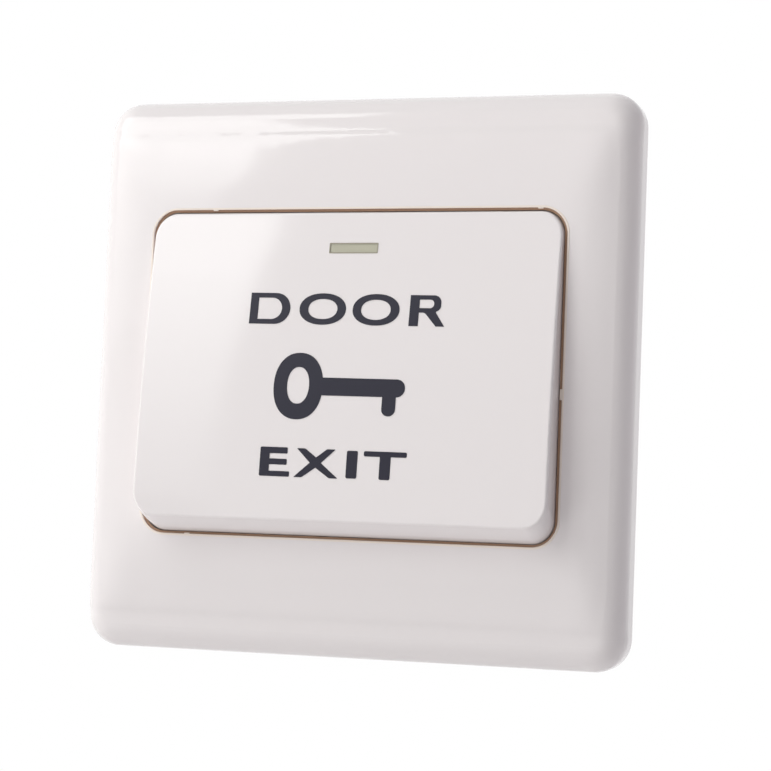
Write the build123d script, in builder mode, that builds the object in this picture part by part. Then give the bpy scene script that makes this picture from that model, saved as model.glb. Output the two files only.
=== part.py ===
from build123d import *
from math import asin, cos, degrees, hypot, radians, sin, sqrt
import os

# Door exit button: a square wall plate with a sprung rocker over a push contact.
# Millimetres. X is to the right and Z up. The room is on the -Y side of the wall plane Y = 0.
# Depths are measured out of the wall, so depth 8 is Y = -8 and a negative depth is inside the
# wall box. The origin is the middle of the plate on the wall.

# Front frame
plate_size = 86.0
plate_corner = 5.0
shoulder_radius = 4.0
front_depth = 8.0
crown_drop = 2.3
crown_blend = 3.0
crown_steps = 24
crown_margin = 1.0
frame_wall = 2.0
opening_width = 66.2
opening_height = 50.2
opening_corner = 3.9
hook_spacing = 40.0
hook_width = 6.0
hook_thickness = 1.2
hook_inset = 3.6
hook_reach = 1.8
hook_tip_depth = 0.4
hook_play = 0.1
pry_notch_width = 9.0
pry_notch_depth = 1.2

# Rocker
rocker_gap = 0.55
rocker_corner = 3.5
rocker_wall = 1.8
rocker_edge_round = 0.4
pivot_depth = 0.8
press_angle = 6.0
top_proud = 0.3
bottom_proud = 5.0
dome_radius = 360.0
skirt_clearance = 0.5
leg_gap = 1.4
leg_thickness = 1.8
leg_eye_radius = 3.4
pin_radius = 1.6
pin_clearance = 0.06
pin_end = 0.5
snap_mouth = 2.7
rib_thickness = 1.2
rib_height = 2.2
head_room_width = 9.6
head_room_height = 3.8

# Glow strip set in the rocker
strip_width = 7.7
strip_height = 1.55
strip_x = 0.35
strip_z = 18.0
strip_recess = 0.05
strip_seat_drop = 0.25
strip_flange = 1.1
strip_flange_thickness = 0.8
strip_seat_margin = 1.0

# Base plate
base_clearance = 0.5
base_corner = 3.5
plate_thickness = 2.4
rim_inset = 5.0
rim_thickness = 1.4
rim_height = 1.8
screw_spacing = 60.3
screw_slot_length = 8.4
screw_slot_radius = 2.1
window_clearance = 0.4
ledge_thickness = 1.2
stop_gap = 0.1
stop_spacing = 28.0
stop_width = 4.0
stop_length = 3.0

# Contact housing behind the base plate, and the snap arms that hold it
well_width = 44.0
well_height = 40.0
well_wall = 1.8
deck_depth = 3.5
deck_thickness = 1.5
tongue_room = 2.2
arm_spacing = 24.0
arm_width = 5.0
arm_thickness = 1.4
arm_clearance = 0.15
arm_catch = 8.0
barb_reach = 0.95
barb_height = 2.0
barb_land = 0.4
catch_play = 0.05
catch_wall = 0.8
catch_room = 0.3

# Plunger and its contact bridge
plunger_inset = 7.2
nose_radius = 1.5
nose_width = 6.0
nose_gap = 0.05
head_top = 1.2
head_radius = 4.0
head_thickness = 1.5
stem_radius = 3.0
guide_clearance = 0.05
collar_wall = 1.5
collar_height = 1.2
flange_radius = 4.4
flange_thickness = 1.0
flange_gap = 0.1
tail_radius = 2.0
tail_length = 4.3
lever_margin = 0.2
bridge_length = 19.0
bridge_width = 5.0
bridge_thickness = 0.6
bridge_hole_clearance = 0.1
clip_radius = 3.2
clip_thickness = 0.5
clip_groove = 0.4
clip_mouth = 2.4
contact_spring_length = 1.9
contact_spring_radius = 2.7
contact_spring_wire = 0.35
contact_spring_turns = 2.5
return_spring_radius = 2.7
return_spring_wire = 0.45
return_spring_turns = 4.5

# Contacts and terminals
contact_spacing = 15.0
contact_gap = 0.04
tip_radius = 1.4
tip_height = 0.5
tip_shank = 0.7
terminal_wall_gap = 3.0
terminal_width = 6.0
terminal_thickness = 0.8
terminal_bend = 1.0
terminal_top = 10.0
terminal_step = -6.5
terminal_pad_height = 1.0
tongue_width = 5.0
tongue_overhang = 2.0
clamp_size = 6.4
clamp_thickness = 1.0
wire_gap = 1.6
wire_hole_radius = 1.6
terminal_screw_z = 3.0
terminal_screw_radius = 1.5
terminal_head_radius = 2.7
terminal_head_height = 2.0
terminal_screw_end = 0.2
thread_clearance = 0.02
hole_clearance = 0.2
drive_slot_width = 0.8
drive_slot_depth = 1.0

# Rear cover
cover_thickness = 1.8
cover_lip_wall = 1.2
cover_lip_height = 1.6
cover_lip_clearance = 0.15
driver_hole_radius = 3.0
spigot_radius = 1.9
spigot_height = 1.6
post_radius = 1.9
cover_screw_offset = 4.0
cover_screw_inset = 2.1
cover_boss_radius = 2.1
cover_screw_radius = 1.1
cover_screw_length = 7.0
cover_screw_room = 0.5
cover_head_radius = 2.0
cover_head_height = 0.9

# Worked out from the sizes above
half_plate = plate_size / 2
base_size = plate_size - 2 * (frame_wall + base_clearance)
opening_radius = hypot(opening_height / 2, front_depth - pivot_depth)
rocker_radius = opening_radius - rocker_gap
rocker_width = opening_width - 2 * rocker_gap
top_angle = asin((front_depth + top_proud - pivot_depth) / rocker_radius)
bottom_angle = asin((front_depth + bottom_proud - pivot_depth) / rocker_radius)
rest_tilt = degrees(bottom_angle - top_angle) / 2
face_edge = pivot_depth + rocker_radius * sin((bottom_angle + top_angle) / 2)
face_half_height = rocker_radius * cos((bottom_angle + top_angle) / 2)
dome_centre = face_edge - sqrt(dome_radius**2 - face_half_height**2)
dome_top = dome_centre + dome_radius
half_press = radians(press_angle / 2)
skirt_depth = plate_thickness + skirt_clearance + rocker_radius * sin(half_press)
skirt_tilt = rest_tilt - press_angle / 2
stop_depth = skirt_depth - rocker_radius * sin(half_press) - stop_gap
leg_spacing = well_width - 2 * leg_gap - leg_thickness
plunger_z = plunger_inset - well_height / 2
travel = (lever_margin - plunger_z) * radians(press_angle)
deck_back = -deck_depth - deck_thickness
flange_top = deck_back - flange_gap
flange_back = flange_top - flange_thickness
bridge_front = flange_back - contact_spring_length
bridge_back = bridge_front - bridge_thickness
clip_back = bridge_back - clip_thickness
tail_end = flange_back - tail_length
fixed_tip_face = bridge_back - tip_height - travel - contact_gap
tongue_front = fixed_tip_face - tip_height
tongue_back = tongue_front - terminal_thickness
well_depth = tongue_room - tongue_back
strip_seat = sqrt(dome_radius**2 - strip_z**2) + dome_centre - rocker_wall - strip_seat_drop
terminal_front = deck_back - terminal_pad_height
terminal_back = terminal_front - terminal_thickness
clamp_front = terminal_back - wire_gap
clamp_back = clamp_front - clamp_thickness
wire_depth = terminal_back - wire_gap / 2
well_outer_width = well_width + 2 * well_wall
well_outer_height = well_height + 2 * well_wall
terminal_spacing = well_width - 2 * terminal_wall_gap - terminal_width
cover_screw_x = terminal_spacing / 2 - cover_screw_offset
cover_screw_z = well_height / 2 - cover_screw_inset
pivot = Axis((0, -pivot_depth, 0), (1, 0, 0))


def facing(depth=0.0):
    """A plane that faces the room at a depth; its axes are X and Z, and it extrudes outwards."""
    return Plane(origin=(0, -depth, 0), x_dir=(1, 0, 0), z_dir=(0, -1, 0))


def beside(x=0.0):
    """A plane across the plate at x; its axes are depth and Z."""
    return Plane(origin=(x, 0, 0), x_dir=(0, -1, 0), z_dir=(-1, 0, 0))


def above(z=0.0):
    """A level plane at z; its axes are X and depth, and it extrudes downwards."""
    return Plane(origin=(0, 0, z), x_dir=(1, 0, 0), z_dir=(0, 0, -1))


def crown_depth(x, z):
    """Depth of the frame's crowned front: level at the opening and falling to the plate's edges."""
    side = max(abs(x) - opening_width / 2, 0) / (half_plate - opening_width / 2)
    top = max(abs(z) - opening_height / 2, 0) / (half_plate - opening_height / 2)
    fall = (side ** (2 * crown_blend) + top ** (2 * crown_blend)) ** (1 / crown_blend)
    return front_depth - crown_drop * fall


def crowned_block(inset):
    """The frame's outer form, inset mm inside its skin."""
    reach = half_plate + crown_margin
    places = [reach * (2 * step / crown_steps - 1) for step in range(crown_steps + 1)]
    crown = Face.make_surface_from_array_of_points(
        [[Vector(x, inset - crown_depth(x, z), z) for x in places] for z in places],
        max_deg=5,
    )
    width = plate_size - 2 * inset
    with BuildPart() as block:
        with BuildSketch(facing()):
            RectangleRounded(width, width, plate_corner - inset)
        extrude(amount=2 * front_depth)
        extrude(crown, amount=2 * front_depth, dir=(0, -1, 0), mode=Mode.SUBTRACT)
    return block


def round_swing_corners(block, radius, corner):
    """Rounds the four corners that run along the swing of a block about the pivot."""
    arcs = block.edges().filter_by(GeomType.CIRCLE).filter_by(lambda e: abs(e.radius - radius) < 0.01)
    fillet(arcs, corner)


def opening_block(radius, width, corner, back, front):
    """The space of the frame's opening: its top and bottom follow the rocker's swing."""
    with BuildPart() as block:
        with BuildSketch(beside()):
            with Locations((pivot_depth, 0)):
                Circle(radius)
            with Locations(((back + front) / 2, 0)):
                Rectangle(front - back, 3 * radius, mode=Mode.INTERSECT)
        extrude(amount=width / 2, both=True)
        round_swing_corners(block, radius, corner)
    return block.part


def rocker_block(inset, skirt):
    """The rocker's outer form, inset mm inside its skin, level, with its edge at depth skirt."""
    radius = rocker_radius - inset
    with BuildPart() as block:
        with BuildSketch(beside()):
            with Locations((pivot_depth, 0)):
                Circle(radius)
            with Locations((dome_centre, 0)):
                Circle(dome_radius - inset, mode=Mode.INTERSECT)
            with Locations((skirt, 0)):
                Rectangle(
                    2 * radius, 3 * radius, rotation=-skirt_tilt,
                    align=(Align.MIN, Align.CENTER), mode=Mode.INTERSECT,
                )
        extrude(amount=rocker_width / 2 - inset, both=True)
        round_swing_corners(block, radius, rocker_corner - inset)
    return block.part


def save(piece, name):
    piece.label = name
    export_step(piece, f"parts/{name}.step")


os.makedirs("parts", exist_ok=True)

# Front frame: a hollow moulding whose opening has the rocker's swing in its top and bottom
# walls, with four snap hooks and a notch to pry it off by.
hook_z = half_plate - frame_wall - hook_inset + hook_thickness
hook_root = crown_depth(0, hook_z) - frame_wall / 2
frame_skin = crowned_block(0.0)
with frame_skin:
    fillet(frame_skin.faces().sort_by(Axis.Y)[0].edges(), shoulder_radius)

with BuildPart() as front_frame:
    add(frame_skin.part)
    add(crowned_block(frame_wall).part, mode=Mode.SUBTRACT)
    add(
        opening_block(opening_radius, opening_width, opening_corner, frame_wall, 2 * front_depth),
        mode=Mode.SUBTRACT,
    )
    for way in (-1, 1):
        with BuildSketch(beside()):
            with BuildLine():
                Polyline(
                    (hook_root, way * hook_z),
                    (hook_tip_depth, way * hook_z),
                    (hook_tip_depth, way * (hook_z - hook_thickness)),
                    (ledge_thickness - hook_play, way * (hook_z - hook_thickness - hook_reach)),
                    (ledge_thickness - hook_play, way * (hook_z - hook_thickness)),
                    (hook_root, way * (hook_z - hook_thickness)),
                    close=True,
                )
            make_face()
        hook = extrude(amount=hook_width / 2, both=True, mode=Mode.PRIVATE)
        for x in (-hook_spacing / 2, hook_spacing / 2):
            add(hook.moved(Location((x, 0, 0))))
    with BuildSketch(facing()):
        with Locations((0, -half_plate)):
            Rectangle(pry_notch_width, 3 * frame_wall)
    extrude(amount=pry_notch_depth, mode=Mode.SUBTRACT)
save(front_frame.part, "front_frame")

# Base plate: the moulding that is screwed to the wall box, with two pins that the rocker snaps
# on, a collar round its opening and four arms behind it that hold the contact housing.
arm_x = well_outer_width / 2 + arm_clearance
with BuildPart() as base_plate:
    with BuildSketch(facing()):
        RectangleRounded(base_size, base_size, base_corner)
    extrude(amount=plate_thickness)
    rim = base_size - 2 * rim_inset
    with BuildSketch(facing(plate_thickness)):
        RectangleRounded(rim, rim, base_corner)
        offset(amount=-rim_thickness, mode=Mode.SUBTRACT)
    extrude(amount=rim_height)
    with BuildSketch(facing(-deck_depth)):
        Rectangle(well_outer_width, well_outer_height)
    extrude(amount=deck_depth)
    with BuildSketch(facing(-deck_depth)):
        Rectangle(well_width, well_height)
    extrude(amount=deck_depth + plate_thickness, mode=Mode.SUBTRACT)
    # Screw slots, and windows with a pocket behind them for the frame's hooks
    with BuildSketch(facing()):
        with Locations((-screw_spacing / 2, 0), (screw_spacing / 2, 0)):
            SlotOverall(screw_slot_length, 2 * screw_slot_radius)
    extrude(amount=plate_thickness, mode=Mode.SUBTRACT)
    window_width = hook_width + 2 * window_clearance
    window_height = hook_thickness + 2 * window_clearance
    pocket_height = window_height + hook_reach + window_clearance
    window_top = hook_z + window_clearance
    for way in (-1, 1):
        with BuildSketch(facing()):
            with GridLocations(hook_spacing, 0, 2, 1):
                with Locations((0, way * (window_top - window_height / 2))):
                    Rectangle(window_width, window_height)
        extrude(amount=plate_thickness, mode=Mode.SUBTRACT)
        with BuildSketch(facing()):
            with GridLocations(hook_spacing, 0, 2, 1):
                with Locations((0, way * (window_top - pocket_height / 2))):
                    Rectangle(window_width, pocket_height)
        extrude(amount=ledge_thickness, mode=Mode.SUBTRACT)
        # Stops for the rocker's top edge at rest and its bottom edge when pressed
        with BuildSketch(facing()):
            with GridLocations(stop_spacing, 0, 2, 1):
                with Locations((0, way * (rocker_radius - stop_length / 2))):
                    Rectangle(stop_width, stop_length)
        extrude(amount=stop_depth)
        # Pivot pin
        with BuildSketch(beside(way * (well_width / 2 + well_wall / 2))):
            with Locations((pivot_depth, 0)):
                Circle(pin_radius)
        extrude(amount=way * (well_wall / 2 + leg_gap + leg_thickness + pin_end))
        # Snap arms, whose barbs catch in the sides of the contact housing
        with BuildSketch(above()):
            with BuildLine():
                Polyline(
                    (way * arm_x, plate_thickness / 2),
                    (way * (arm_x + arm_thickness), plate_thickness / 2),
                    (way * (arm_x + arm_thickness), -arm_catch - barb_height),
                    (way * arm_x, -arm_catch - barb_height),
                    (way * (arm_x - barb_reach), -arm_catch - barb_land),
                    (way * (arm_x - barb_reach), -arm_catch),
                    (way * arm_x, -arm_catch),
                    close=True,
                )
            make_face()
        arm = extrude(amount=arm_width / 2, both=True, mode=Mode.PRIVATE)
        for z in (-arm_spacing / 2, arm_spacing / 2):
            add(arm.moved(Location((0, 0, z))))
save(base_plate.part, "base_plate")

# Contact housing: a box against the collar's end, whose floor is the deck that guides the
# plunger; the terminals and the rear cover's screws are held in it.
with BuildPart() as contact_housing:
    with BuildSketch(facing(-well_depth)):
        Rectangle(well_outer_width, well_outer_height)
    extrude(amount=well_depth - deck_depth)
    with BuildSketch(facing(-well_depth)):
        Rectangle(well_width, well_height)
    extrude(amount=well_depth + deck_back, mode=Mode.SUBTRACT)
    # Catches for the base plate's arms
    with BuildSketch(facing(-arm_catch - barb_height - catch_room)):
        with GridLocations(2 * (well_width / 2 + catch_wall + well_wall), arm_spacing, 2, 2):
            Rectangle(2 * well_wall, arm_width + 2 * arm_clearance)
    extrude(amount=barb_height + catch_room + catch_play, mode=Mode.SUBTRACT)
    # Plunger guide
    with BuildSketch(facing(-deck_depth)):
        with Locations((0, plunger_z)):
            Circle(stem_radius + guide_clearance + collar_wall)
    extrude(amount=collar_height)
    with BuildSketch(facing(deck_back)):
        with Locations((0, plunger_z)):
            Circle(stem_radius + guide_clearance)
    extrude(amount=deck_thickness + collar_height, mode=Mode.SUBTRACT)
    # Pads under the terminals, with room for the screws' ends
    pad_middle = (terminal_top + terminal_step) / 2
    with BuildSketch(facing(terminal_front)):
        with GridLocations(terminal_spacing, 0, 2, 1):
            with Locations((0, pad_middle)):
                Rectangle(terminal_width, terminal_top - terminal_step - 4 * terminal_bend)
    extrude(amount=terminal_pad_height)
    with BuildSketch(facing(terminal_front)):
        with GridLocations(terminal_spacing, 0, 2, 1):
            with Locations((0, terminal_screw_z)):
                Circle(terminal_screw_radius + hole_clearance)
    extrude(amount=terminal_pad_height + deck_thickness / 2, mode=Mode.SUBTRACT)
    # Bosses for the rear cover's screws, in two opposite corners of the well
    for way in (-1, 1):
        with BuildSketch(facing(-well_depth)):
            with Locations((way * cover_screw_x, way * cover_screw_z)):
                Circle(cover_boss_radius)
            with Locations((way * cover_screw_x, way * (cover_screw_z + cover_screw_inset / 2))):
                Rectangle(2 * cover_boss_radius, cover_screw_inset)
        extrude(amount=well_depth + deck_back)
        with BuildSketch(facing(-well_depth)):
            with Locations((way * cover_screw_x, way * cover_screw_z)):
                Circle(cover_screw_radius + thread_clearance)
        extrude(amount=cover_screw_length, mode=Mode.SUBTRACT)
    # Wire entries in the well's top wall
    with BuildSketch(above(well_outer_height / 2)):
        with GridLocations(terminal_spacing, 0, 2, 1):
            with Locations((0, wire_depth)):
                Circle(wire_hole_radius)
    extrude(amount=well_wall, mode=Mode.SUBTRACT)
save(contact_housing.part, "contact_housing")

# Rocker: a domed shell on two snap legs, with a nose that works the plunger. It is made level
# and then turned about its pivot to where it rests, bottom edge out.
nose_depth = head_top + nose_gap + nose_radius - pivot_depth
tilt = radians(rest_tilt)
nose_place = (
    pivot_depth + nose_depth * cos(tilt) + plunger_z * sin(tilt),
    plunger_z * cos(tilt) - nose_depth * sin(tilt),
)
ceiling = dome_top - rocker_wall
skin = rocker_block(0.0, skirt_depth)

with BuildPart() as rocker:
    add(skin)
    add(rocker_block(rocker_wall, 0.0), mode=Mode.SUBTRACT)
    face_rim = rocker.faces().filter_by(GeomType.CYLINDER).sort_by(Axis.Y)[0].edges()
    fillet(face_rim, rocker_edge_round)
    # Notches in the skirt that clear the heads of the wall screws
    with BuildSketch(beside()):
        with Locations((plate_thickness, 0)):
            Rectangle(2 * head_room_height, head_room_width)
    extrude(amount=rocker_width, both=True, mode=Mode.SUBTRACT)
    # Snap legs
    for way in (-1, 1):
        with BuildSketch(beside(way * leg_spacing / 2)):
            with Locations((pivot_depth, 0)):
                Circle(leg_eye_radius)
                Rectangle(
                    ceiling - pivot_depth + rocker_wall / 2, 2 * leg_eye_radius,
                    align=(Align.MIN, Align.CENTER),
                )
                Circle(pin_radius + pin_clearance, mode=Mode.SUBTRACT)
                Rectangle(
                    2 * leg_eye_radius, snap_mouth,
                    align=(Align.MAX, Align.CENTER), mode=Mode.SUBTRACT,
                )
        extrude(amount=leg_thickness / 2, both=True)
    # Nose, with its web up to the ceiling
    with BuildSketch(beside()):
        with Locations(nose_place):
            Circle(nose_radius)
            Rectangle(
                ceiling - nose_place[0], 2 * nose_radius, align=(Align.MIN, Align.CENTER),
            )
    extrude(amount=nose_width / 2, both=True)
    # Stiffening ribs under the face, and the glow strip's seat
    rib_span = rocker_width - 2 * rocker_wall
    with BuildSketch(facing(ceiling - rib_height)):
        with Locations((0, nose_place[1]), (0, -nose_place[1] / 2)):
            Rectangle(rib_span, rib_thickness)
        with GridLocations(leg_spacing, 0, 2, 1):
            Rectangle(rib_thickness, 2 * face_half_height - 2 * rocker_wall)
    extrude(amount=rib_height)
    with BuildSketch(facing(strip_seat)):
        with Locations((strip_x, strip_z)):
            Rectangle(
                strip_width + 2 * (strip_flange + strip_seat_margin),
                strip_height + 2 * (strip_flange + strip_seat_margin),
            )
    extrude(amount=rocker_wall / 2)
    with BuildSketch(facing(strip_seat)):
        with Locations((strip_x, strip_z)):
            Rectangle(strip_width, strip_height)
    extrude(amount=2 * rocker_wall, mode=Mode.SUBTRACT)
save(rocker.part.rotate(pivot, -rest_tilt), "rocker")

with BuildPart() as glow_strip:
    with BuildSketch(facing(strip_seat)):
        with Locations((strip_x, strip_z)):
            Rectangle(strip_width, strip_height)
    extrude(amount=2 * rocker_wall)
    with BuildSketch(beside()):
        with Locations((dome_centre, 0)):
            Circle(dome_radius - strip_recess)
    extrude(amount=rocker_width, both=True, mode=Mode.INTERSECT)
    with BuildSketch(facing(strip_seat)):
        with Locations((strip_x, strip_z)):
            Rectangle(strip_width + 2 * strip_flange, strip_height + 2 * strip_flange)
    extrude(amount=-strip_flange_thickness)
save(glow_strip.part.rotate(pivot, -rest_tilt), "glow_strip")

# Plunger: turned-looking moulding with a head for the nose, a stem in the guide, a flange that
# stops it under the deck and a thin tail that carries the bridge.
with BuildPart() as plunger:
    with BuildSketch(facing(head_top - head_thickness)):
        with Locations((0, plunger_z)):
            Circle(head_radius)
    extrude(amount=head_thickness)
    with BuildSketch(facing(flange_top)):
        with Locations((0, plunger_z)):
            Circle(stem_radius)
    extrude(amount=head_top - head_thickness - flange_top)
    with BuildSketch(facing(flange_back)):
        with Locations((0, plunger_z)):
            Circle(flange_radius)
    extrude(amount=flange_thickness)
    with BuildSketch(facing(tail_end)):
        with Locations((0, plunger_z)):
            Circle(tail_radius)
    extrude(amount=tail_length)
    with BuildSketch(facing(clip_back)):
        with Locations((0, plunger_z)):
            Circle(clip_radius)
            Circle(tail_radius - clip_groove, mode=Mode.SUBTRACT)
    extrude(amount=clip_thickness, mode=Mode.SUBTRACT)
    chamfer(plunger.edges().sort_by(Axis.Y)[-1], clip_groove)
save(plunger.part, "plunger")

with BuildPart() as contact_bridge:
    with BuildSketch(facing(bridge_back)):
        with Locations((0, plunger_z)):
            SlotOverall(bridge_length, bridge_width)
            Circle(tail_radius + bridge_hole_clearance, mode=Mode.SUBTRACT)
            with GridLocations(contact_spacing, 0, 2, 1):
                Circle(tip_shank, mode=Mode.SUBTRACT)
    extrude(amount=bridge_thickness)
save(contact_bridge.part, "contact_bridge")

with BuildPart() as bridge_clip:
    with BuildSketch(facing(clip_back)):
        with Locations((0, plunger_z)):
            Circle(clip_radius)
            Circle(tail_radius - clip_groove, mode=Mode.SUBTRACT)
            Rectangle(clip_mouth, 2 * clip_radius, align=(Align.CENTER, Align.MIN), mode=Mode.SUBTRACT)
    extrude(amount=clip_thickness)
save(bridge_clip.part, "bridge_clip")


def coil(front, back, radius, wire, turns):
    """A coil spring about the plunger's line, from depth front to depth back."""
    height = front - back - wire
    with BuildPart() as spring:
        with BuildLine():
            line = Helix(
                pitch=height / turns, height=height, radius=radius,
                center=(0, -back - wire / 2, plunger_z), direction=(0, -1, 0),
            )
        with BuildSketch(Plane(origin=line @ 0, z_dir=line % 0)):
            Circle(wire / 2)
        sweep(is_frenet=True)
    return spring.part


contact_spring = coil(
    flange_back, bridge_front, contact_spring_radius, contact_spring_wire, contact_spring_turns
)
save(contact_spring, "contact_spring")
return_spring = coil(
    clip_back, -well_depth, return_spring_radius, return_spring_wire, return_spring_turns
)
save(return_spring, "return_spring")

# Contacts and terminals, left and right of the plunger
for side, way in (("left", -1), ("right", 1)):
    tip_place = (way * contact_spacing / 2, plunger_z)
    with BuildPart() as bridge_tip:
        with BuildSketch(facing(bridge_back - tip_height)):
            with Locations(tip_place):
                Circle(tip_radius)
        extrude(amount=tip_height)
        with BuildSketch(facing(bridge_back)):
            with Locations(tip_place):
                Circle(tip_shank)
        extrude(amount=bridge_thickness)
    save(bridge_tip.part, f"bridge_tip_{side}")

    with BuildPart() as fixed_tip:
        with BuildSketch(facing(tongue_front)):
            with Locations(tip_place):
                Circle(tip_radius)
        extrude(amount=tip_height)
        with BuildSketch(facing(tongue_back)):
            with Locations(tip_place):
                Circle(tip_shank)
        extrude(amount=terminal_thickness)
    save(fixed_tip.part, f"fixed_tip_{side}")

    terminal_x = way * terminal_spacing / 2
    tongue_end = plunger_z - tongue_width / 2
    middle = terminal_thickness / 2
    with BuildPart() as terminal:
        with BuildSketch(beside(terminal_x)):
            with BuildLine():
                FilletPolyline(
                    (terminal_front - middle, terminal_top),
                    (terminal_front - middle, terminal_step),
                    (tongue_front - middle, terminal_step),
                    (tongue_front - middle, tongue_end),
                    radius=terminal_bend,
                )
            trace(line_width=terminal_thickness)
        extrude(amount=terminal_width / 2, both=True)
        reach = (terminal_spacing + terminal_width - contact_spacing) / 2 + tongue_overhang
        with BuildSketch(facing(tongue_back)):
            with Locations((terminal_x + way * terminal_width / 2 - way * reach / 2, plunger_z)):
                Rectangle(reach, tongue_width)
            with Locations(tip_place):
                Circle(tip_shank, mode=Mode.SUBTRACT)
        extrude(amount=terminal_thickness)
        with BuildSketch(facing(terminal_back)):
            with Locations((terminal_x, terminal_screw_z)):
                Circle(terminal_screw_radius + thread_clearance)
        extrude(amount=terminal_thickness, mode=Mode.SUBTRACT)
    save(terminal.part, f"terminal_{side}")

    with BuildPart() as wire_clamp:
        with BuildSketch(facing(clamp_back)):
            with Locations((terminal_x, terminal_screw_z)):
                RectangleRounded(clamp_size, clamp_size, terminal_bend)
                Circle(terminal_screw_radius + hole_clearance, mode=Mode.SUBTRACT)
        extrude(amount=clamp_thickness)
    save(wire_clamp.part, f"wire_clamp_{side}")


def slotted_screw(x, z, head_back, head_radius, head_height, shank_radius, shank_end):
    """A screw along the depth with a slotted head that faces into the wall box."""
    with BuildPart() as screw:
        with BuildSketch(facing(head_back)):
            with Locations((x, z)):
                Circle(head_radius)
        extrude(amount=head_height)
        with BuildSketch(facing(head_back + head_height)):
            with Locations((x, z)):
                Circle(shank_radius)
        extrude(amount=shank_end - head_back - head_height)
        with BuildSketch(facing(head_back)):
            with Locations((x, z)):
                Rectangle(2 * head_radius, drive_slot_width)
        extrude(amount=min(drive_slot_depth, head_height / 2), mode=Mode.SUBTRACT)
    return screw.part


terminal_screws = Compound(
    [
        slotted_screw(
            way * terminal_spacing / 2, terminal_screw_z, clamp_back - terminal_head_height,
            terminal_head_radius, terminal_head_height, terminal_screw_radius,
            deck_back - terminal_screw_end,
        )
        for way in (-1, 1)
    ]
)
save(terminal_screws, "terminal_screws")

# Rear cover: closes the well, seats the return spring and backs the contact tongues
with BuildPart() as rear_cover:
    with BuildSketch(facing(-well_depth - cover_thickness)):
        Rectangle(well_outer_width, well_outer_height)
    extrude(amount=cover_thickness)
    chamfer(rear_cover.edges().filter_by(Axis.Y), well_wall / 2)
    with BuildSketch(facing(-well_depth)):
        Rectangle(well_width - 2 * cover_lip_clearance, well_height - 2 * cover_lip_clearance)
        offset(amount=-cover_lip_wall, mode=Mode.SUBTRACT)
        for way in (-1, 1):
            with Locations((way * cover_screw_x, way * cover_screw_z)):
                Rectangle(
                    2 * (cover_boss_radius + hole_clearance),
                    4 * cover_screw_inset, mode=Mode.SUBTRACT,
                )
    extrude(amount=cover_lip_height)
    with BuildSketch(facing(-well_depth)):
        with Locations((0, plunger_z)):
            Circle(spigot_radius)
    extrude(amount=spigot_height)
    with BuildSketch(facing(-well_depth)):
        with Locations((0, plunger_z)):
            with GridLocations(contact_spacing, 0, 2, 1):
                Circle(post_radius)
    extrude(amount=well_depth + tongue_back)
    with BuildSketch(facing(-well_depth - cover_thickness)):
        with GridLocations(terminal_spacing, 0, 2, 1):
            with Locations((0, terminal_screw_z)):
                Circle(driver_hole_radius)
        for way in (-1, 1):
            with Locations((way * cover_screw_x, way * cover_screw_z)):
                Circle(cover_screw_radius + hole_clearance)
    extrude(amount=cover_thickness, mode=Mode.SUBTRACT)
    with BuildSketch(facing(-well_depth - cover_thickness)):
        for way in (-1, 1):
            with Locations((way * cover_screw_x, way * cover_screw_z)):
                Circle(cover_head_radius + hole_clearance)
    extrude(amount=cover_head_height, mode=Mode.SUBTRACT)
save(rear_cover.part, "rear_cover")

rear_cover_screws = Compound(
    [
        slotted_screw(
            way * cover_screw_x, way * cover_screw_z, -well_depth - cover_thickness,
            cover_head_radius, cover_head_height, cover_screw_radius,
            cover_screw_length - well_depth - cover_screw_room,
        )
        for way in (-1, 1)
    ]
)
save(rear_cover_screws, "rear_cover_screws")
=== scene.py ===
from math import cos, pi, radians, sin, sqrt, tan

import bmesh
import bpy
from mathutils import Matrix, Vector


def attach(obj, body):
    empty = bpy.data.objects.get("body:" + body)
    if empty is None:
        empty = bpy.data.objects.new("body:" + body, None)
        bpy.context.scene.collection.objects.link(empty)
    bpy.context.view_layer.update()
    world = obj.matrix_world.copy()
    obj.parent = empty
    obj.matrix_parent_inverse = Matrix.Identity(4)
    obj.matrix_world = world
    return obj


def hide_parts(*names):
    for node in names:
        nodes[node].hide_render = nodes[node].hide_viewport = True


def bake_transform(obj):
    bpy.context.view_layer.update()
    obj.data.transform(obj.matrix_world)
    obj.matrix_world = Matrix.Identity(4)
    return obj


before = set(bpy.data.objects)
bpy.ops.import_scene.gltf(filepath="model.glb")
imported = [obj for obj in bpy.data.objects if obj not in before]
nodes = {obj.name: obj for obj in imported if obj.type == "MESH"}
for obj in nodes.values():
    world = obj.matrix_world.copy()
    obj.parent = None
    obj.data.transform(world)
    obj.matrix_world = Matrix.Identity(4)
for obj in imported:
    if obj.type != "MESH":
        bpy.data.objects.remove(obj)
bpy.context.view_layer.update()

MM = 0.001

# Camera: a long lens a little to the right of the button and a little below its middle, leaning
# over slightly, as the photograph was taken.
view_yaw, view_pitch, view_roll = radians(18.53), radians(-4.14), radians(2.34)
view_distance = 0.3542
photo_side = 771
toward_camera = Vector(
    (sin(view_yaw) * cos(view_pitch), -cos(view_yaw) * cos(view_pitch), sin(view_pitch))
)
camera_data = bpy.data.cameras.new("camera")
camera_data.lens = 107.12
camera_data.sensor_width = 36
camera_data.shift_x = 19.9 / photo_side
camera_data.shift_y = -7.7 / photo_side
camera_data.clip_start = 0.01
camera_data.clip_end = 20
camera = bpy.data.objects.new("camera", camera_data)
camera.rotation_mode = "QUATERNION"
camera_aim = (-toward_camera).to_track_quat("-Z", "Y")
camera_lean = Matrix.Rotation(view_roll, 3, "Z").to_quaternion()
camera.rotation_quaternion = camera_aim @ camera_lean
camera.location = toward_camera * view_distance
bpy.context.scene.collection.objects.link(camera)
bpy.context.scene.camera = camera
bpy.context.scene.view_settings.view_transform = "Standard"

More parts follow.
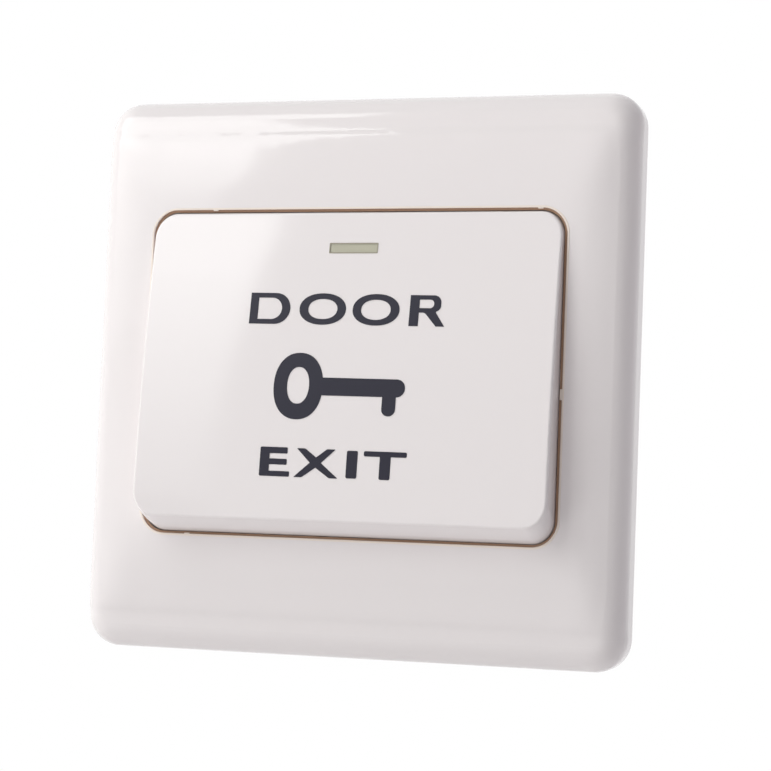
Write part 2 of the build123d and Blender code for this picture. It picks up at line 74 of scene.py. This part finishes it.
# Room: a plain room that glows softly from below and from behind, and more dimly from its sides
# and from above. It is white to the camera and in reflections.
world = bpy.data.worlds.new("room")
bpy.context.scene.world = world
world.use_nodes = True
room = world.node_tree
room.nodes.clear()
room_way = room.nodes.new("ShaderNodeTexCoord")
room_side = room.nodes.new("ShaderNodeSeparateXYZ")
room.links.new(room_way.outputs["Generated"], room_side.inputs[0])
room_glow = None
for axis, end, strength, colour in (
    ("X", 1, 0.17, (1.0, 0.95, 1.12)),
    ("X", -1, 0.08, (1.0, 1.0, 1.0)),
    ("Z", -1, 1.40, (1.04, 0.99, 0.975)),
    ("Z", 1, 0.26, (1.0, 1.0, 1.0)),
    ("Y", 1, 0.85, (1.0, 1.0, 1.0)),
):
    fade = room.nodes.new("ShaderNodeMapRange")
    fade.inputs["From Max"].default_value = end
    fade.inputs["To Max"].default_value = strength
    room.links.new(room_side.outputs[axis], fade.inputs["Value"])
    glow = room.nodes.new("ShaderNodeBackground")
    glow.inputs["Color"].default_value = (*colour, 1)
    room.links.new(fade.outputs[0], glow.inputs["Strength"])
    if room_glow is None:
        room_glow = glow
    else:
        both = room.nodes.new("ShaderNodeAddShader")
        room.links.new(room_glow.outputs[0], both.inputs[0])
        room.links.new(glow.outputs[0], both.inputs[1])
        room_glow = both
room_ray = room.nodes.new("ShaderNodeLightPath")
room_clear = room.nodes.new("ShaderNodeMath")
room_clear.operation = "MAXIMUM"
room.links.new(room_ray.outputs["Is Glossy Ray"], room_clear.inputs[0])
room.links.new(room_ray.outputs["Is Transmission Ray"], room_clear.inputs[1])
room_seen = room.nodes.new("ShaderNodeMath")
room_seen.operation = "MAXIMUM"
room.links.new(room_ray.outputs["Is Camera Ray"], room_seen.inputs[0])
room.links.new(room_clear.outputs[0], room_seen.inputs[1])
room_white = room.nodes.new("ShaderNodeBackground")
room_white.inputs["Color"].default_value = (1, 1, 1, 1)
room_mix = room.nodes.new("ShaderNodeMixShader")
room.links.new(room_seen.outputs[0], room_mix.inputs["Fac"])
room.links.new(room_glow.outputs[0], room_mix.inputs[1])
room.links.new(room_white.outputs[0], room_mix.inputs[2])
room_out = room.nodes.new("ShaderNodeOutputWorld")
room.links.new(room_mix.outputs[0], room_out.inputs["Surface"])


# Lamps: a tall window on the left, dimmer near its foot, whose straight right edge shows in the
# polished plastic, with a brighter band across it that lights reflections only. A dim wall lies
# beside it, and three soft lights beside, above and below it show in no reflection.
def soft_light(name, place, width, height, power, colour=(1, 1, 1)):
    """An area light at a place, facing the button."""
    lamp = bpy.data.lights.new(name, "AREA")
    lamp.shape = "RECTANGLE"
    lamp.size = width
    lamp.size_y = height
    lamp.energy = power
    lamp.color = colour
    holder = bpy.data.objects.new(name, lamp)
    holder.location = place
    holder.rotation_mode = "QUATERNION"
    holder.rotation_quaternion = (-place).to_track_quat("-Z", "Y")
    bpy.context.scene.collection.objects.link(holder)
    return holder


def seen_from_button(azimuth, elevation, distance):
    """A place seen from the button: azimuth is to the right of straight in front."""
    a, e = radians(azimuth), radians(elevation)
    return Vector((sin(a) * cos(e), -cos(a) * cos(e), sin(e))) * distance


def standing_light(name, left, right, foot, head, power, colour=(1, 1, 1)):
    """An upright light between two azimuths in degrees and two heights in metres."""
    width = 2 * lamp_distance * tan(radians(right - left) / 2)
    place = seen_from_button((left + right) / 2, 0, lamp_distance)
    holder = soft_light(name, place, width, head - foot, power, colour)
    holder.location.z = (foot + head) / 2
    return holder


lamp_distance = 1.3
window_left, window_right = -69.3, -23.15
window = standing_light(
    "window", window_left, window_right, foot=0.114, head=1.255, power=14.9,
    colour=(0.98, 1.0, 0.98),
)
window.data.use_nodes = True
pane = window.data.node_tree
pane_place = pane.nodes.new("ShaderNodeNewGeometry")
pane_height = pane.nodes.new("ShaderNodeSeparateXYZ")
pane.links.new(pane_place.outputs["Parametric"], pane_height.inputs[0])
pane_fade = pane.nodes.new("ShaderNodeMapRange")
pane_fade.inputs["From Max"].default_value = 0.35
pane_fade.inputs["To Min"].default_value = 0.16
pane.links.new(pane_height.outputs["Y"], pane_fade.inputs["Value"])
pane.links.new(pane_fade.outputs[0], pane.nodes["Emission"].inputs["Strength"])
standing_light(
    "wall_light", window_right, 2.0, foot=-0.25, head=1.1, power=0.95, colour=(1.04, 1.0, 1.0)
)
for name, azimuth, elevation, side, power in (
    ("side_light", -85, 10, 0.9, 1.0),
    ("upper_light", -48, 60, 0.8, 4.8),
    ("lower_light", -53, -35, 0.8, 6.4),
):
    place = seen_from_button(azimuth, elevation, lamp_distance)
    lamp = soft_light(name, place, side, side, power)
    lamp.visible_glossy = False
sky_band = standing_light("sky_band", -58, window_right, foot=0.52, head=0.76, power=0.35)
sky_band.visible_diffuse = False

# Floor: a pale board well below the button, which hangs on a wall. To the camera its far parts
# fade into the white of the room.
floor_drop = 0.34
floor_radius = 0.5
floor_mesh = bmesh.new()
bmesh.ops.create_circle(floor_mesh, cap_ends=True, segments=64, radius=floor_radius)
bmesh.ops.translate(floor_mesh, vec=(0, 0, -floor_drop), verts=floor_mesh.verts)
floor_data = bpy.data.meshes.new("floor")
floor_mesh.to_mesh(floor_data)
floor_mesh.free()
floor = bpy.data.objects.new("floor", floor_data)
bpy.context.scene.collection.objects.link(floor)
floor_material = bpy.data.materials.new("floor_board")
floor_material.use_nodes = True
board = floor_material.node_tree
board_shader = board.nodes["Principled BSDF"]
board_shader.inputs["Base Color"].default_value = (0.9, 0.9, 0.9, 1)
board_shader.inputs["Roughness"].default_value = 0.9
board_place = board.nodes.new("ShaderNodeTexCoord")
board_flat = board.nodes.new("ShaderNodeMapping")
board_flat.inputs["Scale"].default_value = (1, 1, 0)
board.links.new(board_place.outputs["Object"], board_flat.inputs["Vector"])
board_reach = board.nodes.new("ShaderNodeVectorMath")
board_reach.operation = "LENGTH"
board.links.new(board_flat.outputs[0], board_reach.inputs[0])
board_fade = board.nodes.new("ShaderNodeMapRange")
board_fade.interpolation_type = "SMOOTHSTEP"
board_fade.inputs["From Min"].default_value = 0.35 * floor_radius
board_fade.inputs["From Max"].default_value = 0.97 * floor_radius
board.links.new(board_reach.outputs["Value"], board_fade.inputs["Value"])
board_ray = board.nodes.new("ShaderNodeLightPath")
board_seen = board.nodes.new("ShaderNodeMath")
board_seen.operation = "MULTIPLY"
board.links.new(board_fade.outputs[0], board_seen.inputs[0])
board.links.new(board_ray.outputs["Is Camera Ray"], board_seen.inputs[1])
board_white = board.nodes.new("ShaderNodeEmission")
board_mix = board.nodes.new("ShaderNodeMixShader")
board.links.new(board_seen.outputs[0], board_mix.inputs["Fac"])
board.links.new(board_shader.outputs[0], board_mix.inputs[1])
board.links.new(board_white.outputs[0], board_mix.inputs[2])
board.links.new(board_mix.outputs[0], board.nodes["Material Output"].inputs["Surface"])
floor_data.materials.append(floor_material)


# Moulded parts behind the rocker: base plate, contact housing and rear cover, moulded in white
# plastic with the fine spark texture of the mould on it. The housing snaps to the base plate,
# and two screws hold the cover.
def skin_group():
    """Grain and mottle of a moulded plastic skin, for the plastics of this button."""
    group = bpy.data.node_groups.new("moulded_skin", "ShaderNodeTree")
    for name in ("Grain Scale", "Mottle Scale"):
        group.interface.new_socket(name=name, in_out="INPUT", socket_type="NodeSocketFloat")
    for name in ("Grain", "Mottle"):
        group.interface.new_socket(name=name, in_out="OUTPUT", socket_type="NodeSocketFloat")
    inside = group.nodes.new("NodeGroupInput")
    outside = group.nodes.new("NodeGroupOutput")
    place = group.nodes.new("ShaderNodeTexCoord")
    grain = group.nodes.new("ShaderNodeTexNoise")
    grain.inputs["Detail"].default_value = 3
    mottle = group.nodes.new("ShaderNodeTexNoise")
    mottle.inputs["Detail"].default_value = 2
    for name, texture in (("Grain", grain), ("Mottle", mottle)):
        group.links.new(place.outputs["Object"], texture.inputs["Vector"])
        group.links.new(inside.outputs[name + " Scale"], texture.inputs["Scale"])
        group.links.new(texture.outputs["Fac"], outside.inputs[name])
    return group


moulded_skin = skin_group()


def vary(tree, pattern, colour, tone, roughness, rough_spread):
    """Lets a pattern shift the shader's colour and roughness a little both ways."""
    shader = tree.nodes["Principled BSDF"]
    shade = tree.nodes.new("ShaderNodeMix")
    shade.data_type = "RGBA"
    dark, light, shaded = shade.inputs[6], shade.inputs[7], shade.outputs[2]
    dark.default_value = (*[c * (1 - tone) for c in colour], 1)
    light.default_value = (*[min(c * (1 + tone), 1) for c in colour], 1)
    tree.links.new(pattern, shade.inputs["Factor"])
    tree.links.new(shaded, shader.inputs["Base Color"])
    gloss = tree.nodes.new("ShaderNodeMapRange")
    gloss.inputs["To Min"].default_value = roughness - rough_spread
    gloss.inputs["To Max"].default_value = roughness + rough_spread
    tree.links.new(pattern, gloss.inputs["Value"])
    tree.links.new(gloss.outputs[0], shader.inputs["Roughness"])


def plastic(name, colour, tone, roughness, rough_spread, grain_scale, relief, mottle_scale=60.0):
    """A moulded plastic whose colour and gloss vary a little and whose skin has a fine relief."""
    material = bpy.data.materials.new(name)
    material.use_nodes = True
    tree = material.node_tree
    skin = tree.nodes.new("ShaderNodeGroup")
    skin.node_tree = moulded_skin
    skin.inputs["Grain Scale"].default_value = grain_scale
    skin.inputs["Mottle Scale"].default_value = mottle_scale
    vary(tree, skin.outputs["Mottle"], colour, tone, roughness, rough_spread)
    bump = tree.nodes.new("ShaderNodeBump")
    bump.inputs["Strength"].default_value = 1.0
    bump.inputs["Distance"].default_value = relief
    tree.links.new(skin.outputs["Grain"], bump.inputs["Height"])
    tree.links.new(bump.outputs["Normal"], tree.nodes["Principled BSDF"].inputs["Normal"])
    return material


def dress(node, material):
    """Gives a CAD node its material."""
    nodes[node].data.materials.clear()
    nodes[node].data.materials.append(material)


base_plastic = plastic(
    "base_plastic", (0.80, 0.78, 0.75), tone=0.02, roughness=0.5, rough_spread=0.06,
    grain_scale=3000, relief=0.00002,
)
for node in ("base_plate", "contact_housing", "rear_cover"):
    dress(node, base_plastic)

# Plunger: a slide moulded in satin light grey acetal, which runs in a guide in the housing's deck
# and carries the contact bridge.
plunger_plastic = plastic(
    "plunger_plastic", (0.62, 0.62, 0.60), tone=0.03, roughness=0.38, rough_spread=0.05,
    grain_scale=1500, relief=0.00001,
)
dress("plunger", plunger_plastic)

# Metal inside: bridge and terminals stamped from rolled brass, silver tips riveted to them, drawn
# spring wire, and zinc plated clamps and screws.
metal_rough_spread = 0.3


def metal(name, colour, roughness, streak, streak_scale):
    """A metal with drawn or rolled streaks along one way and a little change of tone."""
    material = bpy.data.materials.new(name)
    material.use_nodes = True
    tree = material.node_tree
    tree.nodes["Principled BSDF"].inputs["Metallic"].default_value = 1.0
    place = tree.nodes.new("ShaderNodeTexCoord")
    stretch = tree.nodes.new("ShaderNodeMapping")
    stretch.inputs["Scale"].default_value = streak_scale
    tree.links.new(place.outputs["Object"], stretch.inputs["Vector"])
    streaks = tree.nodes.new("ShaderNodeTexNoise")
    streaks.inputs["Scale"].default_value = 1.0
    streaks.inputs["Detail"].default_value = 4
    tree.links.new(stretch.outputs[0], streaks.inputs["Vector"])
    vary(tree, streaks.outputs["Fac"], colour, streak, roughness, roughness * metal_rough_spread)
    return material


brass = metal("contact_brass", (0.71, 0.53, 0.24), 0.3, 0.12, (300, 300, 2500))
silver = metal("contact_silver", (0.83, 0.82, 0.79), 0.25, 0.05, (900, 900, 900))
spring_steel = metal("spring_steel", (0.55, 0.55, 0.56), 0.25, 0.08, (1500, 1500, 1500))
zinc = metal("plated_steel", (0.68, 0.68, 0.66), 0.35, 0.10, (500, 500, 500))
for node in ("contact_bridge", "terminal_left", "terminal_right"):
    dress(node, brass)
for node in ("bridge_tip_left", "bridge_tip_right", "fixed_tip_left", "fixed_tip_right"):
    dress(node, silver)
for node in ("contact_spring", "bridge_clip"):
    dress(node, spring_steel)
for node in ("wire_clamp_left", "wire_clamp_right", "terminal_screws", "rear_cover_screws"):
    dress(node, zinc)


# Return spring: a wound coil of spring wire, held between the bridge's clip and the rear cover,
# which shortens as the plunger goes in. This coil is built once at its resting length, in place of
# the CAD spring, and stays as it is.
def new_piece(name, mesh, material):
    """Turns a mesh in millimetres into an object in metres with its material."""
    bmesh.ops.scale(mesh, vec=(MM, MM, MM), verts=mesh.verts)
    data = bpy.data.meshes.new(name)
    mesh.to_mesh(data)
    mesh.free()
    data.materials.append(material)
    piece = bpy.data.objects.new(name, data)
    bpy.context.scene.collection.objects.link(piece)
    return piece


spring_front, spring_back, spring_z = 9.1, 14.0, -12.8
spring_radius, spring_wire, spring_turns = 2.7, 0.45, 4.5
spring_rise = spring_back - spring_front - spring_wire
coil_steps_a_turn = 32
coil_mesh = bmesh.new()
wire_end = bmesh.ops.create_circle(coil_mesh, segments=12, radius=spring_wire / 2)["verts"]
bmesh.ops.rotate(
    coil_mesh, verts=wire_end,
    matrix=Matrix.Rotation(pi / 2, 3, "Z") @ Matrix.Rotation(pi / 2, 3, "X"),
)
bmesh.ops.translate(
    coil_mesh, verts=wire_end, vec=(0, spring_front + spring_wire / 2, spring_z + spring_radius)
)
coil_steps = int(spring_turns * coil_steps_a_turn)
bmesh.ops.spin(
    coil_mesh,
    geom=coil_mesh.verts[:] + coil_mesh.edges[:],
    cent=(0, spring_front + spring_wire / 2, spring_z),
    axis=(0, 1, 0),
    dvec=(0, spring_rise / coil_steps, 0),
    angle=2 * pi * spring_turns,
    steps=coil_steps,
)
bmesh.ops.holes_fill(coil_mesh, edges=[e for e in coil_mesh.edges if e.is_boundary])
bmesh.ops.recalc_face_normals(coil_mesh, faces=coil_mesh.faces)
return_coil = new_piece("return_coil", coil_mesh, spring_steel)
return_coil.data.shade_smooth()
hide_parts("return_spring")
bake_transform(return_coil)

# Front frame and rocker: white plastic from polished moulds, even in colour. The frame clips over
# the base plate, and the rocker snaps over its pivot pins.
white_plastic = plastic(
    "frame_plastic", (0.875, 0.83, 0.83), tone=0.004, roughness=0.06, rough_spread=0.01,
    grain_scale=250, relief=0.0000005,
)
dress("front_frame", white_plastic)
dress("rocker", white_plastic)

# Rim of the opening: a thin rounded lip moulded round the frame's opening, tinted cream as a
# painted edge highlight, and a warm brown ring set a little way down the gap as painted shade for
# the gap, which leaves the rocker free. The opening's top and bottom follow the rocker's swing
# about its pivot.
face_depth = 8.0
opening_half_width, opening_corner = 33.1, 3.9
swing_radius, swing_depth = 26.112, 0.8
lip_width, lip_rise, lip_round = 0.3, 0.06, 0.05
gap_shade_depth, gap_shade_thickness, gap_shade_width, gap_shade_root = 7.65, 0.5, 0.46, 0.12
sharp_angle = radians(60)


def opening_top(depth):
    """Half the height of the opening at a depth."""
    return sqrt(swing_radius**2 - (depth - swing_depth) ** 2)


def rim_ring(name, grow, width, back, front, edge_round, material):
    """A flat ring that follows the opening, from grow mm outside its wall inwards by width."""
    ring = bmesh.new()
    bmesh.ops.create_grid(ring, x_segments=1, y_segments=1, size=1)
    bmesh.ops.scale(
        ring, vec=(opening_half_width + grow, opening_top(back) + grow, 1), verts=ring.verts
    )
    bmesh.ops.bevel(
        ring, geom=ring.verts[:], offset=opening_corner + grow, offset_type="OFFSET", segments=16,
        profile=0.5, affect="VERTICES", clamp_overlap=False, material=-1,
    )
    middle = ring.faces[:]
    bmesh.ops.inset_region(
        ring, faces=middle, thickness=width, use_even_offset=True, use_boundary=True
    )
    bmesh.ops.delete(ring, geom=middle, context="FACES")
    bmesh.ops.rotate(ring, verts=ring.verts, matrix=Matrix.Rotation(pi / 2, 3, "X"))
    bmesh.ops.translate(ring, vec=(0, -back, 0), verts=ring.verts)
    raised = bmesh.ops.extrude_face_region(ring, geom=ring.faces[:])["geom"]
    raised_verts = [v for v in raised if isinstance(v, bmesh.types.BMVert)]
    bmesh.ops.translate(ring, vec=(0, back - front, 0), verts=raised_verts)
    bmesh.ops.scale(
        ring, vec=(1, 1, opening_top(front) / opening_top(back)), verts=raised_verts
    )
    if edge_round:
        rims = [e for e in raised if isinstance(e, bmesh.types.BMEdge)]
        rims = [e for e in rims if e.calc_face_angle(0) > sharp_angle]
        bmesh.ops.bevel(
            ring, geom=rims, offset=edge_round, segments=3, profile=0.5, affect="EDGES",
            material=-1,
        )
    bmesh.ops.recalc_face_normals(ring, faces=ring.faces)
    piece = new_piece(name, ring, material)
    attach(piece, "base")


# Painted edge highlight: the lip's cream tint stands for the warm light along the edge of the
# opening.
lip_highlight_plastic = plastic(
    "lip_highlight_plastic", (0.88, 0.79, 0.71), tone=0.01, roughness=0.3, rough_spread=0.04,
    grain_scale=1500, relief=0.000001,
)
rim_ring(
    "opening_lip", grow=lip_width, width=lip_width, back=face_depth - lip_rise,
    front=face_depth + lip_rise, edge_round=lip_round, material=lip_highlight_plastic,
)
# Painted shade: the warm brown ring down the gap stands for the dark, warm shade between frame and
# rocker.
gap_shade_plastic = plastic(
    "gap_shade_plastic", (0.44, 0.28, 0.19), tone=0.1, roughness=0.8, rough_spread=0.05,
    grain_scale=4000, relief=0.00001, mottle_scale=500,
)
rim_ring(
    "gap_shade_ring", grow=gap_shade_root, width=gap_shade_root + gap_shade_width, back=gap_shade_depth - gap_shade_thickness,
    front=gap_shade_depth, edge_round=0, material=gap_shade_plastic,
)

# Gate marks and a glint: three small nibs left by the moulding on the edge of the opening, and a
# longer pale nib on its right wall, a painted highlight for a bright spot of light in the gap.
nib_round = 0.07
nibs = bmesh.new()
for nib_x, nib_z, nib_width, nib_height, nib_back, nib_front in (
    (-22.9, 25.06, 0.8, 0.24, 7.7, 8.05),
    (28.9, 25.06, 0.8, 0.24, 7.7, 8.05),
    (-25.3, -25.06, 0.8, 0.24, 7.7, 8.05),
    # Painted highlight: this pale nib stands for a bright spot of light in the gap.
    (32.93, -2.6, 0.36, 1.6, 7.6, 8.05),
):
    nib = bmesh.ops.create_cube(nibs, size=1)["verts"]
    bmesh.ops.scale(nibs, vec=(nib_width, nib_front - nib_back, nib_height), verts=nib)
    bmesh.ops.translate(nibs, vec=(nib_x, -(nib_front + nib_back) / 2, nib_z), verts=nib)
    bmesh.ops.bevel(
        nibs, geom=list({edge for vert in nib for edge in vert.link_edges}), offset=nib_round,
        segments=2, profile=0.5, affect="EDGES", material=-1,
    )
bmesh.ops.recalc_face_normals(nibs, faces=nibs.faces)
gate_marks_and_glint = new_piece("gate_marks_and_glint", nibs, lip_highlight_plastic)
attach(gate_marks_and_glint, "base")

# Glow strip: a pale olive insert of plastic that glows in the dark, moulded by itself and seated
# in the rocker by its flange.
glow_plastic = plastic(
    "glow_plastic", (0.455, 0.44, 0.335), tone=0.06, roughness=0.3, rough_spread=0.05,
    grain_scale=900, relief=0.000004, mottle_scale=300,
)
dress("glow_strip", glow_plastic)

# Legends: DOOR, a key and EXIT, printed on the rocker's face in dark slate ink, which lies on the
# dome, a part of a wide cylinder. All sizes are on the face as it rests, with x to the right and
# z up.
dome_depth, dome_z, dome_radius = -346.787, -34.833, 360.0
ink_lift, ink_thickness = 0.012, 0.03
print_lean = radians(-0.5)


def ink_loop(bm, corners):
    """A closed outline of (x, z, corner radius); returns its edges."""
    face = bm.faces.new([bm.verts.new((x, 0, z)) for x, z, _ in corners])
    rounded = [(v, r) for v, (_, _, r) in zip(list(face.verts), corners) if r]
    for vert, radius in rounded:
        bmesh.ops.bevel(
            bm, geom=[vert], offset=radius, offset_type="OFFSET", segments=8, profile=0.5,
            affect="VERTICES", clamp_overlap=False, material=-1,
        )
    face = list(bm.faces)[-1]
    edges = list(face.edges)
    bmesh.ops.delete(bm, geom=[face], context="FACES_ONLY")
    return edges


def ink_oval(bm, middle, width, height, fullness):
    """A closed oval outline; fullness 2 is an ellipse and more is squarer."""
    ring = bmesh.ops.create_circle(bm, segments=64, radius=1.0)["verts"]
    for vert in ring:
        x, z = vert.co.x, vert.co.y
        spread = (abs(x) ** fullness + abs(z) ** fullness) ** (-1 / fullness)
        vert.co = (middle[0] + x * spread * width / 2, 0, middle[1] + z * spread * height / 2)
    return list({edge for vert in ring for edge in vert.link_edges})


def ink_piece(name, shapes, middle, ink, lean):
    """Fills the outlines, gives the ink its thickness and lays it on the dome."""
    whole = bmesh.new()
    for shape in shapes:
        part = bmesh.new()
        edges = []
        for loop in shape:
            edges += ink_oval(part, *loop) if isinstance(loop, tuple) else ink_loop(part, loop)
        bmesh.ops.triangle_fill(part, use_beauty=True, edges=edges, normal=(0, -1, 0))
        top = bmesh.ops.extrude_face_region(part, geom=part.faces[:])["geom"]
        top_verts = [v for v in top if isinstance(v, bmesh.types.BMVert)]
        bmesh.ops.translate(part, vec=(0, -ink_thickness, 0), verts=top_verts)
        bmesh.ops.recalc_face_normals(part, faces=part.faces)
        data = bpy.data.meshes.new("ink_part")
        part.to_mesh(data)
        part.free()
        whole.from_mesh(data)
        bpy.data.meshes.remove(data)
    bmesh.ops.rotate(
        whole, verts=whole.verts, cent=(middle[0], 0, middle[1]),
        matrix=Matrix.Rotation(-lean, 3, "Y"),
    )
    for vert in whole.verts:
        vert.co.y -= dome_depth + sqrt(dome_radius**2 - (vert.co.z - dome_z) ** 2) + ink_lift
    piece = new_piece(name, whole, ink)
    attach(piece, "rocker")


legend_ink = plastic(
    "legend_ink", (0.016, 0.015, 0.028), tone=0.08, roughness=0.4, rough_spread=0.06,
    grain_scale=4000, relief=0.000003, mottle_scale=800,
)
legend_ink.node_tree.nodes["Principled BSDF"].inputs["Specular IOR Level"].default_value = 0.25

letter_d = [
    [(-15.47, 7.06, 0), (-8.96, 7.06, 2.4), (-8.96, 11.84, 2.4), (-15.47, 11.84, 0)],
    [(-14.15, 7.80, 0), (-10.30, 7.80, 1.65), (-10.30, 11.10, 1.65), (-14.15, 11.10, 0)],
]
first_o = [((-3.75, 9.47), 7.42, 4.82, 2.15), ((-3.73, 9.47), 4.65, 3.08, 2.15)]
second_o = [((4.72, 9.47), 7.39, 4.82, 2.15), ((4.70, 9.47), 4.66, 3.08, 2.15)]
letter_r = [
    [
        (10.0, 7.09, 0), (11.46, 7.09, 0), (11.46, 9.16, 0), (12.35, 9.16, 0.35), (14.22, 7.09, 0),
        (15.56, 7.09, 0), (14.03, 9.30, 0.2), (14.83, 9.62, 0.55), (14.83, 11.80, 1.1),
        (10.0, 11.80, 0),
    ],
    [(11.48, 9.84, 0), (13.74, 9.84, 0.6), (13.74, 11.14, 0.6), (11.48, 11.14, 0)],
]
door_letters = [letter_d, first_o, second_o, letter_r]
ink_piece("door_legend", door_letters, (0, 9.4), legend_ink, print_lean)

key_blade = [
    [
        (-4.0, -3.68, 0), (6.7, -3.68, 0), (6.7, -6.55, 1.05), (8.85, -6.55, 1.05),
        (8.85, -3.68, 0), (10.15, -3.68, 1.3), (10.15, -0.98, 1.3), (-4.0, -0.98, 0),
    ],
]
key_ring = [((-6.7, -2.36), 7.85, 10.1, 2.2), ((-6.72, -2.25), 3.52, 5.56, 2.15)]
ink_piece("key_legend", [key_blade, key_ring], (0, -2.3), legend_ink, print_lean)

letter_e = [[
    (-12.02, -16.07, 0.2), (-7.2, -16.07, 0.15), (-7.2, -15.27, 0.15), (-10.5, -15.27, 0.1),
    (-10.5, -14.3, 0.1), (-7.7, -14.3, 0.15), (-7.7, -13.42, 0.15), (-10.5, -13.42, 0.1),
    (-10.5, -12.62, 0.1), (-7.66, -12.62, 0.15), (-7.66, -11.68, 0.15), (-12.02, -11.68, 0.2),
]]
letter_x = [[
    (-6.5, -16.07, 0.15), (-5.2, -16.07, 0.15), (-3.1, -14.57, 0), (-0.85, -16.07, 0.15),
    (0.5, -16.07, 0.15), (-2.26, -13.84, 0), (-0.05, -11.74, 0.15), (-1.4, -11.74, 0.15),
    (-3.07, -13.03, 0), (-4.85, -11.74, 0.15), (-6.2, -11.74, 0.15), (-4.02, -13.84, 0),
]]
letter_i = [[
    (1.74, -15.97, 0.25), (3.44, -15.97, 0.25), (3.44, -11.84, 0.25), (1.74, -11.84, 0.25),
]]
letter_t = [[
    (6.92, -16.0, 0.25), (8.62, -16.0, 0.25), (8.62, -12.6, 0.1), (11.08, -12.6, 0.25),
    (11.08, -11.82, 0.25), (4.4, -11.82, 0.25), (4.4, -12.6, 0.25), (6.92, -12.6, 0.1),
]]
exit_letters = [letter_e, letter_x, letter_i, letter_t]
ink_piece("exit_legend", exit_letters, (0, -13.9), legend_ink, print_lean)

# Joint round the glow strip: a thin line of shadow and glue where the insert meets the rocker. It
# lies on the rocker's face as the ink does.
joint_middle = (0.35, 18.93)
joint_half_width, joint_half_height, joint_line, joint_corner = 3.89, 0.815, 0.17, 0.12
strip_joint = []
for inset in (0, joint_line):
    half_width, half_height = joint_half_width - inset, joint_half_height - inset
    strip_joint.append([
        (joint_middle[0] + x * half_width, joint_middle[1] + z * half_height, joint_corner)
        for x, z in ((-1, -1), (1, -1), (1, 1), (-1, 1))
    ])
joint_grey = plastic(
    "joint_grey", (0.34, 0.315, 0.245), tone=0.08, roughness=0.5, rough_spread=0.06,
    grain_scale=4000, relief=0.000003, mottle_scale=800,
)
ink_piece("strip_joint", [strip_joint], joint_middle, joint_grey, lean=0)
